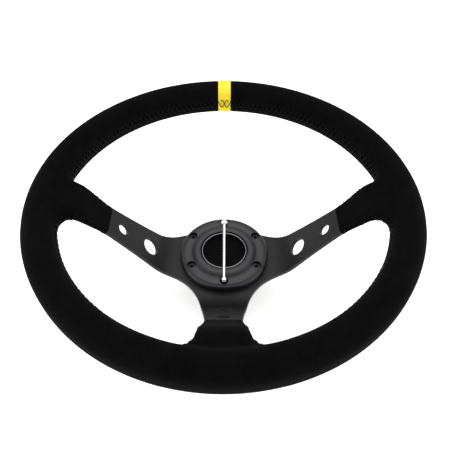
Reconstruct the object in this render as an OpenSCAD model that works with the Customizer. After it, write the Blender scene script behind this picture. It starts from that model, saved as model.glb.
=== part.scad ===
// Deep-dish steering wheel on a ball-lock quick release.
// +Z is the wheel's axis and points at the driver, +Y is the top of the wheel.
// The origin is the centre of the column stub's rear end face.

/* [Rim] */
// Outer diameter of the rim, over the suede
rim_d = 350; // [300:1:400]
// Width of the grip section, across the rim
grip_w = 28; // [24:0.5:34]
// Height of the grip section, along the wheel's axis
grip_h = 34; // [28:0.5:42]
// Height of the rim's middle plane above the front face of the spoke plate
dish = 82; // [65:1:100]
// Thickness of the suede
suede_t = 1.2; // [0.8:0.1:1.8]
// Width of the flat steel core ring
core_w = 14; // [11:0.5:17]
// Thickness of the core ring
core_t = 5; // [3:0.5:6]
// Width of the coloured band at the top of the rim
band_w = 14; // [10:1:30]

/* [Spoke plate] */
// Thickness of the spoke plate
plate_t = 4; // [3:0.5:5]
// Width of a spoke at its narrowest
spoke_w = 30.4; // [24:0.2:38]
// Distance from the axis to the fold where a spoke leaves the hub face
fold_x = 60.3; // [53:0.1:67]
// Distance from the outer fold of a spoke to the middle of the grip
landing = 28.4; // [24:0.1:34]
// Radius of the fold at the hub, at the middle of the plate
fold_r = 30; // [12:1:32]
// Radius of the fold inside the rim
rim_fold_r = 12; // [6:1:18]
// Radius of the curve that widens a spoke from the boot to the hub
flare_r = 350; // [300:10:450]
// Angle at which that curve leaves the boot
flare_angle = 4.5; // [3:0.5:6]
// Radius of the curve that joins two spokes at the hub
notch_r = 48; // [36:1:60]
// Diameter of the large hole in each spoke
large_hole_d = 18; // [12:0.5:22]
// Place of the large hole on the bare slope, 0 at the fold and 1 at the boot
large_hole_at = 0.277; // [0.24:0.01:0.34]
// Diameter of the small hole in each spoke
small_hole_d = 11.5; // [6:0.5:14]
// Place of the small hole on the bare slope
small_hole_at = 0.745; // [0.7:0.01:0.8]
// Diameter of the rivets that hold the spokes to the core ring
rivet_d = 5; // [4:0.5:6]
// Distance between the two rivets of a spoke
rivet_gap = 16; // [13:1:20]

/* [Boots] */
// Distance from a boot's edge to the inside of the rim
boot_len = 38.5; // [34:0.5:44]
// Angle at which a boot's sides spread towards the rim
boot_spread = 9.7; // [5:0.1:12]
// Radius of the fillet between a boot and the rim
boot_fillet_r = 11; // [7:1:14]
// Height of a boot where it meets the rim
boot_h = 15; // [12:0.5:20]

/* [Hub] */
// Diameter of the six-bolt circle
bolt_circle_d = 74; // [70:0.5:78]
// Diameter of the bolts
bolt_d = 5; // [4:0.5:6]
// Diameter of the bolts' heads
bolt_head_d = 8; // [7:0.5:8.4]
// Gap round a bolt's head in its pocket in the trim ring
pocket_gap = 0.5; // [0.4:0.05:0.8]
// Width of the trim ring outside the bolt circle
ring_edge_w = 7.3; // [6:0.1:10]
// Gap between the trim ring and the bead of the horn cup
bead_gap = 0.8; // [0.4:0.1:1.4]
// Thickness of the trim ring under the bolt heads
ring_floor_t = 4; // [3:0.5:5]
// Height of the trim ring at the middle of its outer bulge
ring_h = 10.2; // [9.6:0.1:11]
// Height of the trim ring at its inner bulge
ring_inner_h = 11.6; // [11:0.1:12]

/* [Release bar] */
// Diameter of the bar
bar_d = 3; // [2.5:0.1:3.4]
// Diameter of the ball on its free end
bar_ball_d = 7; // [6:0.5:7.4]
// Distance of the ball's centre inside the bolt circle
ball_inset = 3; // [1:0.5:5]
// Length of the tail beyond the ball's centre
bar_tail = 8.5; // [7:0.5:11]
// Gap between the bar and the horn button at rest
bar_gap = 0.6; // [0.4:0.1:1.4]
// Depth of the pivot below the bar's axis
pivot_drop = 1.6; // [1.2:0.1:2]
// Diameter of the pivot pin
pin_d = 2; // [1.6:0.1:2.4]

/* [Horn button] */
// Inner diameter of the horn cup
cup_d = 42.8; // [41:0.2:43]
// Wall of the horn cup
cup_wall = 1.4; // [1:0.1:1.5]
// Travel of the horn button
horn_travel = 3; // [2:0.1:3.2]
// Thickness of the brass contacts
contact_t = 0.6; // [0.4:0.1:0.8]
// Wire diameter of the horn spring
horn_wire = 0.9; // [0.7:0.1:1.1]

/* [Quick release] */
// Diameter of the steering column that the stub takes
column_d = 19.05; // [17:0.05:20]
// Depth of the column bore
column_depth = 25; // [20:0.5:26]
// Wall between the column bore and the stub's round pilot
pilot_wall = 3.275; // [2.5:0.025:4]
// Step from the pilot out to the stub's boss
boss_step = 2.7; // [1:0.1:4]
// Height of the boss
boss_h = 12; // [10:0.5:13]
// Diameter of the clamp screw's tapped hole in the boss
clamp_hole_d = 5; // [4:0.2:6]
// Number of spline teeth
teeth = 24; // [18:1:30]
// Step from the pilot in to the tips of the spline teeth
spline_step = 1.4; // [1.1:0.1:2]
// Height of the spline teeth
tooth_h = 1; // [0.7:0.1:1.4]
// Diameter of the lock balls
ball_d = 7; // [6.8:0.1:7.2]
// Number of lock balls
balls = 6; // [6:1:6]
// Depth that a locked ball stands into the stub's groove
ball_grip = 1.22; // [0.9:0.02:1.3]
// Travel of the release collar
collar_travel = 6; // [5:0.5:6.5]
// Wall of the release collar
collar_wall = 7.5; // [6.5:0.5:9.5]
// Height of the collar's pull flange
pull_h = 2.5; // [1:0.5:5]
// Wire diameter of the collar's spring
spring_wire = 1.4; // [1:0.1:1.6]
// Width of the mounting flange outside the bolt circle
flange_edge_w = 5; // [4:0.5:6]
// Thickness of that flange
flange_t = 5; // [4:0.5:6]

/* [Hidden] */
$fn = 96;

// Named clearances
slip = 0.1;         // a part that slides on or into another
running = 0.05;     // a pin that turns in its hole
bolt_gap = 0.25;    // a bolt in its through hole
free_gap = 0.3;     // moving parts that pass without touching
eps = 0.01;         // overlap of shapes that are cut or joined

// Heights of the main faces
seat_z = 50;                            // rear face of the spoke plate
face_z = seat_z + plate_t;              // its front face
rim_z = face_z + dish;                  // middle plane of the rim
rim_r = (rim_d - grip_w) / 2;           // middle of the grip section
rim_in_r = rim_d / 2 - grip_w;          // inside of the rim
boot_x = rim_in_r - boot_len;           // edge of the boots
far = rim_d;                            // longer than any cut needs to be

spoke_turns = [180, 0, 270];            // left, right and bottom spoke, about +Z
bolt_turns = [for (i = [0:5]) 90 + 60 * i];
bolt_r = bolt_circle_d / 2;

// ---------------------------------------------------------------- rim

// Section of the grip, drawn in from the suede's surface: a bar with round ends
module grip_section(inset) {
    w = grip_w - 2 * inset;
    h = grip_h - 2 * inset;
    r = min(w, h) / 2;
    translate([rim_r, rim_z]) {
        for (s = [-1, 1]) translate([s * (w / 2 - r), s * (h / 2 - r)]) circle(r);
        square(w > h ? [w - 2 * r, h] : [w, h - 2 * r], center = true);
    }
}

module grip_solid(inset) {
    rotate_extrude($fn = 180) grip_section(inset);
}

core_z = rim_z - plate_t / 2 - core_t;  // the core ring lies under the spoke ends
spoke_end_r = rim_r + core_w / 2;

module core_blank() {
    rotate_extrude($fn = 180)
        translate([rim_r - core_w / 2, core_z]) square([core_w, core_t]);
}

// Places two rivets in each spoke end
module at_rivets() {
    for (a = spoke_turns, s = [-1, 1])
        rotate(a) translate([rim_r, s * rivet_gap / 2, 0]) children();
}

rivet_head_h = 1.8;

module rivet_blank(d) {
    top = core_z + core_t + plate_t;
    wide = 1.8 * rivet_d;
    narrow = 1.2 * rivet_d;
    translate([0, 0, core_z - eps]) cylinder(d = d, h = core_t + plate_t + 2 * eps);
    translate([0, 0, top]) cylinder(d1 = wide, d2 = narrow, h = rivet_head_h);
    translate([0, 0, core_z - rivet_head_h]) cylinder(d1 = narrow, d2 = wide, h = rivet_head_h);
}

module rim_core() {
    color("dimgray") difference() {
        core_blank();
        at_rivets() translate([0, 0, core_z - 1]) cylinder(d = rivet_d + slip, h = core_t + 2);
    }
}

module rim_rivets() {
    color("silver") at_rivets() rivet_blank(rivet_d);
}

// Moulded round the core ring, the spoke ends and the rivets
module rim_foam() {
    color("dimgray") difference() {
        grip_solid(suede_t);
        core_blank();
        spokes();
        at_rivets() rivet_blank(rivet_d + slip);
    }
}

module band_slab() {
    translate([-band_w / 2, 0, rim_z - grip_h]) cube([band_w, far, 2 * grip_h]);
}

module suede_skin() {
    difference() {
        grip_solid(0);
        grip_solid(suede_t);
    }
}

module rim_cover() {
    color("black") difference() {
        suede_skin();
        band_slab();
        spokes();
    }
}

module centre_band() {
    color("yellow") intersection() {
        suede_skin();
        band_slab();
    }
}

// ---------------------------------------------------------------- spoke plate

// Middle line of a spoke from the side: distance from the axis, height and slope
plate_mid = face_z - plate_t / 2;
fold2_x = rim_r - landing;
spoke_angle = atan((rim_z - plate_mid) / (fold2_x - fold_x));
fold_tan = fold_r * tan(spoke_angle / 2);
rim_fold_tan = rim_fold_r * tan(spoke_angle / 2);
slope_x = fold_x - plate_t / 2 * tan(spoke_angle / 2);  // where its front face starts to rise
fold_steps = 8;
function spoke_line(start_x, end_x) = concat(
    start_x < fold_x ? [[start_x, plate_mid, 0]] : [],
    start_x < fold_x ? [for (i = [0:fold_steps]) let (a = spoke_angle * i / fold_steps)
        [fold_x - fold_tan + fold_r * sin(a), plate_mid + fold_r * (1 - cos(a)), a]]
        : [[start_x, plate_mid + (start_x - fold_x) * tan(spoke_angle), spoke_angle]],
    [for (i = [fold_steps:-1:0]) let (a = spoke_angle * i / fold_steps)
        [fold2_x + rim_fold_tan - rim_fold_r * sin(a), rim_z - rim_fold_r * (1 - cos(a)), a]],
    [[end_x, rim_z, 0]]
);

// A sheet that follows a middle line, with half its thickness given at each point
module bent_sheet(line, half) {
    n = len(line) - 1;
    side = [for (i = [0:n]) let (p = line[i])
        [p[0] - half[i] * sin(p[2]), p[1] + half[i] * cos(p[2])]];
    back = [for (i = [n:-1:0]) let (p = line[i])
        [p[0] + half[i] * sin(p[2]), p[1] - half[i] * cos(p[2])]];
    rotate([90, 0, 0]) linear_extrude(far, center = true) polygon(concat(side, back));
}

flare_x = 20;                           // the flares run out under the trim ring
flare_mid = [boot_x + flare_r * sin(flare_angle), spoke_w / 2 + flare_r * cos(flare_angle)];
flare_top = flare_mid[1] - sqrt(pow(flare_r, 2) - pow(flare_mid[0] - flare_x, 2));

// The circle that joins two neighbouring spokes touches the flares of both from inside
notch_sum = flare_mid[0] + flare_mid[1];
notch_x = (notch_sum - sqrt(pow(notch_sum, 2)
    - 2 * (pow(flare_mid[0], 2) + pow(flare_mid[1], 2) - pow(flare_r - notch_r, 2)))) / 2;
notch_mid = [notch_x, notch_x];
notch_end = flare_mid + (notch_mid - flare_mid) * flare_r / (flare_r - notch_r);
notch_lap = 1;                          // each spoke's filler reaches past the diagonal

// One spoke from above, pointing along +X, before it is turned to its place
module spoke_outline(turn) {
    intersection() {
        translate([0, -spoke_w / 2]) square([far, spoke_w]);
        circle(spoke_end_r, $fn = 180);
    }
    for (side = [-1, 1]) mirror([0, (1 - side) / 2]) {
        difference() {
            translate([flare_x, 0]) square([boot_x - flare_x, flare_top]);
            translate(flare_mid) circle(flare_r, $fn = 360);
        }
        if (len(search((turn + 90 * side + 360) % 360, spoke_turns)) > 0) difference() {
            polygon([[0, 0], notch_end, notch_mid + notch_lap * [-1, 1]]);
            translate(notch_mid) circle(notch_r, $fn = 180);
        }
    }
}

module spoke(turn) {
    line = spoke_line(0, far);
    rotate(turn) intersection() {
        translate([0, 0, seat_z]) linear_extrude(rim_z + grip_h - seat_z) spoke_outline(turn);
        bent_sheet(line, [for (p = line) plate_t / 2]);
    }
}

module spokes() {
    for (a = spoke_turns) spoke(a);
}

// A round hole square to the slope of a spoke
module slope_hole(at, d) {
    x = slope_x + at * (boot_x - slope_x);
    z = face_z + (x - slope_x) * tan(spoke_angle);
    for (a = spoke_turns) rotate(a)
        translate([x, 0, z]) rotate([0, -spoke_angle, 0])
            cylinder(d = d, h = 4 * plate_t, center = true);
}

ring_d = bolt_circle_d + 2 * ring_edge_w;
ring_overhang = 0.8;                    // the trim ring hides the plate's edge
hub_disc_r = ring_d / 2 - ring_overhang;
spigot_d = 40;                          // register of the release body in the plate

module spoke_plate() {
    color("dimgray") difference() {
        union() {
            translate([0, 0, seat_z]) cylinder(r = hub_disc_r, h = plate_t);
            spokes();
        }
        translate([0, 0, seat_z - 1]) cylinder(d = spigot_d + 2 * slip, h = plate_t + 2);
        at_bolts(seat_z - 1) cylinder(d = bolt_d + 2 * bolt_gap, h = plate_t + 2);
        slope_hole(large_hole_at, large_hole_d);
        slope_hole(small_hole_at, small_hole_d);
        at_rivets() translate([0, 0, rim_z - plate_t])
            cylinder(d = rivet_d + slip, h = 2 * plate_t);
    }
}

// ---------------------------------------------------------------- boots

boot_half = spoke_w / 2 + suede_t;
// The fillet's centre lies off the boot's side by its radius, and inside the rim by the same
fillet_reach = rim_in_r - boot_fillet_r;
fillet_off = boot_half + boot_fillet_r / cos(boot_spread) - boot_x * tan(boot_spread);
fillet_b = fillet_off * tan(boot_spread);
fillet_a = 1 + tan(boot_spread) * tan(boot_spread);
fillet_x = (-fillet_b + sqrt(fillet_b * fillet_b
    - fillet_a * (fillet_off * fillet_off - fillet_reach * fillet_reach))) / fillet_a;
fillet_y = fillet_off + fillet_x * tan(boot_spread);
fillet_steps = 8;

// A boot from above: straight sides, and a fillet that runs into the rim
module boot_outline() {
    start_a = boot_spread - 90;
    end_a = atan2(fillet_y, fillet_x);
    fillet = [for (i = [0:fillet_steps]) let (a = start_a + (end_a - start_a) * i / fillet_steps)
        [fillet_x + boot_fillet_r * cos(a), fillet_y + boot_fillet_r * sin(a)]];
    inside_rim = [fillet_x, fillet_y] * rim_r / fillet_reach;
    side = concat([[boot_x, boot_half]], fillet, [inside_rim]);
    polygon(concat(side, [for (i = [len(side) - 1:-1:0]) [side[i][0], -side[i][1]]]));
}

// Thin over the spoke, and filled out towards the rim
module boot(turn) {
    line = spoke_line(boot_x, rim_r);
    swell = boot_h / 2 - plate_t / 2 - suede_t;
    half = [for (p = line) let (t = min(1, (p[0] - boot_x) / (rim_in_r - boot_x)))
        plate_t / 2 + suede_t + swell * t * t];
    color("black") difference() {
        rotate(turn) intersection() {
            translate([0, 0, seat_z]) linear_extrude(rim_z + grip_h - seat_z) boot_outline();
            bent_sheet(line, half);
        }
        spoke(turn);
        grip_solid(0);
    }
}

module boot_left() boot(spoke_turns[0]);
module boot_right() boot(spoke_turns[1]);
module boot_bottom() boot(spoke_turns[2]);

// ---------------------------------------------------------------- hub

module at_bolts(z, turns = bolt_turns) {
    for (a = turns) rotate(a) translate([bolt_r, 0, z]) children();
}

pocket_z = face_z + ring_floor_t;       // floor of the pockets, where the heads sit
pocket_d = bolt_head_d + 2 * pocket_gap;

// The horn button, from its contacts up to the bar over it
shelf_t = 1.5;                          // the lower contact lies on the cup's shelf
contact_gap = 0.2;                      // what is left between the contacts at full travel
cap_t = 2;                              // the button's top, at its edge
cap_crown = 2.2;                        // and its rise to the middle
bead_r = 0.9;                           // plated bead round the cup's mouth
shelf_z = face_z + shelf_t;
cap_under_z = shelf_z + 2 * contact_t + horn_travel + contact_gap;
cap_edge_z = cap_under_z + cap_t;
bar_axis_z = cap_edge_z + cap_crown + bar_gap + bar_d / 2;
pivot_axis_z = bar_axis_z - pivot_drop;
bar_ball_y = bolt_r - ball_inset;
ring_open_d = cup_d + cup_wall + 2 * bead_r + 2 * bead_gap;
cup_flange_w = 3.2;                     // the trim ring holds the cup down by this much
cup_flange_t = 1.2;
cup_flange_d = ring_open_d + 2 * cup_flange_w;

// Radii of the trim ring's two bulges and of its rounded edge
ring_outer_bulge = 14;
ring_inner_bulge = 7.5;
ring_edge_r = 2.5;
ring_edge_drop = 4.4;                   // from the outer bulge down to the edge's middle
ring_inner_in = 3;                      // from the opening to the inner bulge's middle

module ring_section() {
    inner = ring_open_d / 2;
    outer = ring_d / 2;
    edge_z = ring_h - ring_edge_drop;
    difference() {
        intersection() {
            union() {
                translate([inner, 0]) square([outer - inner, edge_z]);
                translate([inner, 0]) square([outer - inner - ring_edge_r, far]);
                translate([outer - ring_edge_r, edge_z]) circle(ring_edge_r);
            }
            union() {
                translate([inner, 0]) square([outer - inner, edge_z]);
                translate([bolt_r, ring_h - ring_outer_bulge]) circle(ring_outer_bulge);
                translate([inner + ring_inner_in, ring_inner_h - ring_inner_bulge]) circle(ring_inner_bulge);
            }
        }
        square([cup_flange_d / 2 + slip, cup_flange_t + slip]);
    }
}

notch_w = bar_d + 2 * free_gap;
tail_sill = 2;                          // wall left under the gap for the bar's tail

module hub_ring() {
    color("#2b2c30") difference() {
        translate([0, 0, face_z]) rotate_extrude($fn = 180) ring_section();
        at_bolts(face_z - 1) cylinder(d = bolt_d + 2 * bolt_gap, h = ring_h);
        at_bolts(pocket_z) cylinder(d = pocket_d, h = ring_h);
        // channel that the bar lies in
        translate([-notch_w / 2, -bolt_r, bar_axis_z - bar_d / 2 - free_gap])
            cube([notch_w, 2 * bolt_r, ring_h]);
        // gap in the outer wall for the tail
        translate([-notch_w / 2, bolt_r, pocket_z + tail_sill]) cube([notch_w, ring_d / 2, ring_h]);
        translate([0, bar_ball_y, bar_axis_z]) sphere(d = bar_ball_d + 2 * free_gap);
    }
}

bolt_head_h = 3.6;
catch_head_h = 4.8;
hex_key = 3;
hex_depth = 2;
bolt_tip_in = 0.5;                      // the bolts end short of the flange's rear face

module bolt_shank() {
    low = seat_z - flange_t + bolt_tip_in;
    translate([0, 0, low]) cylinder(d = bolt_d, h = pocket_z - low + eps);
}

module hub_screws() {
    // the top and the bottom pocket hold the bar's own screws
    color("#26262a") for (a = [150, 210, 330, 30]) rotate(a) translate([bolt_r, 0, 0]) {
        difference() {
            translate([0, 0, pocket_z]) cylinder(d = bolt_head_d, h = bolt_head_h);
            translate([0, 0, pocket_z + bolt_head_h - hex_depth])
                cylinder(d = hex_key * 2 / sqrt(3), h = 2 * hex_depth, $fn = 6);
        }
        bolt_shank();
    }
}

// Screw with a cradle for the ball of the bar
module catch_screw() {
    color("#202022") difference() {
        translate([0, bolt_r, 0]) {
            translate([0, 0, pocket_z]) cylinder(d = bolt_head_d, h = catch_head_h);
            bolt_shank();
        }
        translate([0, bar_ball_y, bar_axis_z]) sphere(d = bar_ball_d + 2 * free_gap);
    }
}

eye_w = bar_d + 4 * slip;               // flat eye of the bar, and the two ears beside it
eye_r = 2.6;
ear_t = 1.5;
ear_r = 2;
ear_x = eye_w / 2 + free_gap;

// Screw with a forked head for the bar's pivot pin
module pivot_screw() {
    base_h = pivot_axis_z - pocket_z - eye_r - 2 * free_gap;
    color("#202022") translate([0, -bolt_r, 0]) difference() {
        union() {
            translate([0, 0, pocket_z]) cylinder(d = bolt_head_d, h = base_h);
            bolt_shank();
            intersection() {
                for (s = [-1, 1]) translate([s * (ear_x + ear_t / 2), 0, 0]) {
                    translate([-ear_t / 2, -ear_r, pocket_z])
                        cube([ear_t, 2 * ear_r, pivot_axis_z - pocket_z]);
                    translate([-ear_t / 2, 0, pivot_axis_z]) rotate([0, 90, 0])
                        cylinder(r = ear_r, h = ear_t);
                }
                translate([0, 0, pocket_z]) cylinder(d = bolt_head_d, h = ring_h);
            }
        }
        translate([0, 0, pivot_axis_z]) rotate([0, 90, 0])
            cylinder(d = pin_d, h = 2 * bolt_head_d, center = true);
    }
}

module pivot_pin() {
    color("silver") translate([0, -bolt_r, pivot_axis_z]) rotate([0, 90, 0])
        cylinder(d = pin_d, h = 2 * (ear_x + ear_t), center = true);
}

bar_start = 0.6;                        // the rod's end, in front of the pivot

module release_bar() {
    bar_len = bolt_r - bar_start + bar_ball_y + bar_tail;
    color("white") difference() {
        union() {
            // rod with its ball and its rounded tip, turned about its own axis
            translate([0, bar_start - bolt_r, bar_axis_z]) rotate([-90, 0, 0]) rotate_extrude()
                intersection() {
                    union() {
                        square([bar_d / 2, bar_len]);
                        translate([0, bar_len]) circle(d = bar_d);
                        translate([0, bar_len - bar_tail]) circle(d = bar_ball_d);
                    }
                    square([bar_ball_d, bar_len + bar_d]);
                }
            translate([0, -bolt_r, pivot_axis_z]) rotate([0, 90, 0])
                cylinder(r = eye_r, h = eye_w, center = true);
        }
        translate([0, -bolt_r, pivot_axis_z]) rotate([0, 90, 0])
            cylinder(d = pin_d + 2 * running, h = 2 * eye_w, center = true);
    }
}

// ---------------------------------------------------------------- horn button

well_d = 33;                            // sunk middle of the horn cup
well_wall = 1.2;
well_gap = 0.8;                         // from the stub's end to the well
well_z = seat_z + well_gap;
bead_z = bar_axis_z - bar_d / 2 - free_gap - bead_r - slip;
cap_d = cup_d - 4 * free_gap;
skirt_t = 1.5;
skirt_z = shelf_z + horn_travel + free_gap;
contact_in_d = well_d - well_wall;
contact_out_d = cap_d - 2 * skirt_t - 4 * slip;

module horn_housing() {
    color("#151517") rotate_extrude() difference() {
        union() {
            translate([0, well_z]) square([well_d / 2, shelf_z - well_z]);
            translate([0, face_z]) square([cup_d / 2 + cup_wall, bead_z - face_z]);
            translate([0, face_z]) square([cup_flange_d / 2, cup_flange_t]);
            translate([cup_d / 2 + cup_wall / 2, bead_z]) circle(bead_r, $fn = 32);
        }
        translate([0, well_z + well_wall]) square([well_d / 2 - well_wall, far]);
        translate([0, shelf_z]) square([cup_d / 2 - bead_r + cup_wall / 2, far]);
    }
}

module contact_ring(z) {
    color("gold") translate([0, 0, z]) difference() {
        cylinder(d = contact_out_d, h = contact_t);
        translate([0, 0, -1]) cylinder(d = contact_in_d, h = contact_t + 2);
    }
}

module lower_contact() contact_ring(shelf_z);
module upper_contact() contact_ring(cap_under_z - contact_t);

module horn_cap() {
    crown_r = (cap_d * cap_d / 4 + cap_crown * cap_crown) / (2 * cap_crown);
    color("black") rotate_extrude() difference() {
        union() {
            translate([0, skirt_z]) square([cap_d / 2, cap_edge_z - skirt_z]);
            intersection() {
                translate([0, cap_edge_z - eps]) square([cap_d / 2, cap_crown + 1]);
                translate([0, cap_edge_z + cap_crown - crown_r]) circle(crown_r, $fn = 360);
            }
        }
        translate([-1, skirt_z - 1])
            square([cap_d / 2 - skirt_t + 1, cap_under_z - skirt_z + 1]);
        translate([-far, 0]) square([far, far]);
    }
}

// A round wire coil about Z, from its lowest to its highest face
module coil(mid_r, wire, low, high, turns) {
    steps = 20;
    sides = 8;
    n = steps * turns;
    points = [for (i = [0:n], j = [0:sides - 1])
        let (a = 360 * i / steps, b = 360 * j / sides,
             z = low + wire / 2 + (high - low - wire) * i / n, r = mid_r + wire / 2 * cos(b))
        [r * cos(a), r * sin(a), z + wire / 2 * sin(b)]];
    walls = [for (i = [0:n - 1], j = [0:sides - 1]) let (k = (j + 1) % sides)
        [i * sides + j, i * sides + k, (i + 1) * sides + k, (i + 1) * sides + j]];
    first = [for (j = [sides - 1:-1:0]) j];
    last = [for (j = [0:sides - 1]) n * sides + j];
    polyhedron(points, concat(walls, [first, last]));
}

module horn_spring() {
    color("silver") coil(8, horn_wire, well_z + well_wall, cap_under_z, 4);
}

// ---------------------------------------------------------------- quick release

boss_gap = 2;                           // the wheel stays clear of the stub's boss
body_z = boss_h + boss_gap;             // rear end of the release body
spline_z = 30.5;                        // rear end of the stub's spline
spline_end_gap = 0.5;                   // room behind the spline in the body
column_fit = 0.025;                     // the column in its bore, on the radius
ball_z = 26;
bore_r = column_d / 2 + column_fit;
pilot_d = column_d + 2 * pilot_wall;
boss_d = pilot_d + 2 * boss_step;
spline_d = pilot_d - 2 * spline_step;
spline_root_d = spline_d - 2 * tooth_h;
ball_track_r = pilot_d / 2 - ball_grip + ball_d / 2;   // a locked ball's centre
ball_proud = 0.08;                      // a locked ball stands out of the neck by this
neck_d = 2 * (ball_track_r + ball_d / 2 - ball_proud);
collar_d = neck_d + 2 * collar_wall;
collar_flange_d = collar_d + 2 * pull_h;
flange_d = bolt_circle_d + 2 * flange_edge_w;
cone_gap = 0.125;                       // between a ball and the collar's cone
ball_travel = 1.4;                      // the balls back out by this over the collar's travel
cone_slope = ball_travel / collar_travel;
collar_in = 2.6;                        // the collar starts in front of the body's end
collar_z = body_z + collar_in;
collar_top_z = 37;
shoulder_z = 33;                        // seat of the spring in the collar
collar_skin = 2;                        // wall round the spring's chamber
pull_in = 1;                            // from the collar's rear end to its pull flange
pull_t = 4;

module ball_groove() {
    translate([0, 0, ball_z]) rotate_extrude()
        translate([ball_track_r, 0]) circle(d = ball_d + 2 * slip);
}

module spline_teeth(root_r, tip_r, w, low, high) {
    for (i = [0:teeth - 1]) rotate(360 * i / teeth)
        translate([root_r - 1, -w / 2, low]) cube([tip_r - root_r + 1, w, high - low]);
}

tooth_w = 1.4;
module column_stub() {
    color("silver") difference() {
        union() {
            cylinder(d = boss_d, h = boss_h);
            cylinder(d = pilot_d, h = spline_z);
            cylinder(d = spline_root_d, h = seat_z);
            intersection() {
                spline_teeth(spline_root_d / 2, spline_d / 2, tooth_w, spline_z - 1, seat_z);
                union() {
                    cylinder(d = spline_d, h = seat_z - 1);
                    translate([0, 0, seat_z - 1 - eps])
                        cylinder(d1 = spline_d, d2 = spline_root_d, h = 1 + eps);
                }
            }
        }
        translate([0, 0, -1]) cylinder(r = bore_r, h = column_depth + 1);
        translate([0, 0, boss_h / 2]) rotate([0, 90, 0]) cylinder(d = clamp_hole_d, h = boss_d);
        translate([boss_d / 2 - 1, -boss_d, -1]) cube([boss_d, 2 * boss_d, boss_h + 1]);
        ball_groove();
    }
}

module at_balls() {
    for (i = [0:balls - 1]) rotate(360 * i / balls)
        translate([ball_track_r, 0, ball_z]) children();
}

clip_t = 1.2;
clip_w = 4;                             // the ring outside the neck
clip_bite = 0.9;                        // and in its groove
clip_slot = 6;                          // opening of the ring
clip_gap = 0.2;                         // between the ring and the collar
clip_z = collar_z - clip_gap - clip_t;
clip_groove_d = neck_d - 2 * clip_bite;
ball_seat_d = ball_d + 0.16;            // holes for the balls, with a rounded inner end
ball_bore_d = ball_d + 2 * slip;

module release_body() {
    color("#3a3b40") difference() {
        union() {
            translate([0, 0, body_z]) cylinder(d = neck_d, h = seat_z - body_z);
            translate([0, 0, seat_z - flange_t]) cylinder(d = flange_d, h = flange_t);
            translate([0, 0, seat_z]) cylinder(d = spigot_d, h = plate_t);
        }
        translate([0, 0, body_z - 1])
            cylinder(d = pilot_d + 2 * slip, h = spline_z + spline_end_gap - body_z + 1);
        cylinder(d = spline_root_d + 2 * slip, h = seat_z + 1);
        spline_teeth(spline_root_d / 2, spline_d / 2 + slip, tooth_w + slip, body_z, seat_z + 1);
        translate([0, 0, seat_z]) cylinder(d = well_d + 4 * slip, h = plate_t + 1);
        at_bolts(seat_z - flange_t - 1) cylinder(d = bolt_d + slip, h = flange_t + 2);
        at_balls() {
            sphere(d = ball_seat_d);
            rotate([0, 90, 0]) cylinder(d = ball_bore_d, h = neck_d);
        }
        translate([0, 0, clip_z - slip / 2]) difference() {
            cylinder(d = neck_d + clip_w, h = clip_t + slip);
            translate([0, 0, -1]) cylinder(d = clip_groove_d, h = clip_t + 3);
        }
    }
}

module retaining_ring() {
    color("dimgray") translate([0, 0, clip_z]) difference() {
        cylinder(d = neck_d + 2 * clip_w, h = clip_t);
        translate([0, 0, -1]) cylinder(d = clip_groove_d + slip, h = clip_t + 2);
        translate([0, -clip_slot / 2, -1]) cube([neck_d, clip_slot, clip_t + 2]);
    }
}

module lock_ball(i) {
    color("silver") rotate(360 * i / balls) translate([ball_track_r, 0, ball_z])
        sphere(d = ball_d);
}

module lock_ball_1() lock_ball(0);
module lock_ball_2() lock_ball(1);
module lock_ball_3() lock_ball(2);
module lock_ball_4() lock_ball(3);
module lock_ball_5() lock_ball(4);
module lock_ball_6() lock_ball(5);

// Slides towards the driver to let the balls out of the groove
module release_collar() {
    cone_r = ball_track_r + ball_d / 2 + cone_gap;
    guide_r = neck_d / 2 + slip;
    chamber_r = collar_d / 2 - collar_skin;
    low_r = cone_r + cone_slope * (ball_z - collar_z);
    cone_top_z = ball_z + (cone_r - guide_r) / cone_slope;
    color("#6b1f1f") rotate_extrude() difference() {
        union() {
            translate([guide_r, collar_z])
                square([collar_d / 2 - guide_r, collar_top_z - collar_z]);
            translate([guide_r, collar_z + pull_in])
                square([collar_flange_d / 2 - guide_r, pull_t]);
        }
        polygon([[0, collar_z - 1], [low_r + cone_slope, collar_z - 1],
                 [guide_r, cone_top_z], [0, cone_top_z]]);
        translate([0, shoulder_z]) square([chamber_r, far]);
    }
}

spring_out = 2.8;                       // from the neck to the middle of the wire

module release_spring() {
    color("silver") coil(neck_d / 2 + spring_out, spring_wire, shoulder_z, seat_z - flange_t, 2.5);
}

// ---------------------------------------------------------------- assembly

column_stub();
release_body();
retaining_ring();
release_collar();
release_spring();
lock_ball_1();
lock_ball_2();
lock_ball_3();
lock_ball_4();
lock_ball_5();
lock_ball_6();
spoke_plate();
rim_core();
rim_rivets();
rim_foam();
rim_cover();
centre_band();
boot_left();
boot_right();
boot_bottom();
hub_ring();
hub_screws();
catch_screw();
pivot_screw();
pivot_pin();
release_bar();
horn_housing();
lower_contact();
horn_spring();
upper_contact();
horn_cap();
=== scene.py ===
import math

import bmesh
import bpy
import numpy as np
from mathutils import Matrix, Vector
from mathutils.bvhtree import BVHTree
from mathutils.kdtree import KDTree


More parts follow.
